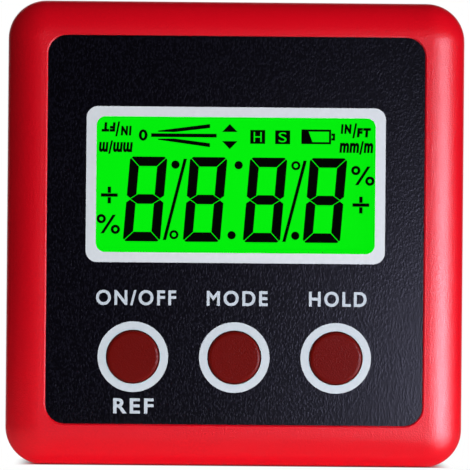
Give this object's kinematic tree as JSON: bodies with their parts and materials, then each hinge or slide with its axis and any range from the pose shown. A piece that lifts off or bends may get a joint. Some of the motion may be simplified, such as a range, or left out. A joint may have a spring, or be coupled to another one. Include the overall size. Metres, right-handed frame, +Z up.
{
  "type": "digital angle gauge",
  "caption": "Square red digital angle gauge with a lit display, round keys, a magnetic grooved base and a hinged battery door in its back.",
  "frame": {"origin": "middle of the base, where the gauge stands", "axes": "+Z up from the base, +X to the right of the display, and the display faces -Y"},
  "size_m": [0.06, 0.03, 0.061],
  "materials": {
    "case_red": "satin moulded plastic with a fine grain",
    "film_black": "fine-grained printed film",
    "lens_clear": "clear polished plastic",
    "display_green": "lit green liquid-crystal display",
    "key_red": "satin dark red rubbery plastic",
    "seal_rubber": "matt soft rubber",
    "strip_rubber": "striped conductive rubber",
    "screw_steel": "zinc-plated steel",
    "contact_steel": "nickel-plated spring steel",
    "magnet_nickel": "nickel-plated magnet",
    "guide_white": "milky light-guide plastic",
    "board_green": "solder-masked glass-fibre board",
    "chip_black": "moulded black package",
    "plunger_white": "white moulded plastic",
    "cell_jacket": "printed metal jacket",
    "print_white": "screen-printed ink",
    "display_ink": "dark liquid-crystal segments"
  },
  "bodies": {
    "case": {"front_case": "case_red", "rear_cover": "case_red", "case_seal": "seal_rubber", "case_screws": "screw_steel", "board_screws": "screw_steel", "front_film": "film_black", "display_lens": "lens_clear", "display_glass": "display_green", "light_guide": "guide_white", "contact_strip_upper": "strip_rubber", "contact_strip_lower": "strip_rubber", "backlight_lamp": "guide_white", "circuit_board": "board_green", "controller_chip": "chip_black", "tilt_sensor": "chip_black", "battery_upper": "cell_jacket", "battery_lower": "cell_jacket", "contact_positive": "contact_steel", "contact_negative": "contact_steel", "contact_bridge": "contact_steel", "switch_power": "chip_black", "switch_mode": "chip_black", "switch_hold": "chip_black", "magnet_front_left": "magnet_nickel", "magnet_front_right": "magnet_nickel", "magnet_rear_left": "magnet_nickel", "magnet_rear_right": "magnet_nickel"},
    "power_key": {"key_power": "key_red", "plunger_power": "plunger_white"},
    "mode_key": {"key_mode": "key_red", "plunger_mode": "plunger_white"},
    "hold_key": {"key_hold": "key_red", "plunger_hold": "plunger_white"},
    "door": {"battery_door": "case_red"}
  },
  "joints": [
    {"name": "power_press", "type": "slide", "parent": "case", "child": "power_key", "axis": [0, 1, 0], "range_m": [0, 0.0004], "stiffness_N_per_m": 1500},
    {"name": "mode_press", "type": "slide", "parent": "case", "child": "mode_key", "axis": [0, 1, 0], "range_m": [0, 0.0004], "stiffness_N_per_m": 1500},
    {"name": "hold_press", "type": "slide", "parent": "case", "child": "hold_key", "axis": [0, 1, 0], "range_m": [0, 0.0004], "stiffness_N_per_m": 1500},
    {"name": "door_hinge", "type": "hinge", "parent": "case", "child": "door", "pos_m": [0, 0.0142, 0.04152], "axis": [1, 0, 0], "range_deg": [0, 80]}
  ]
}
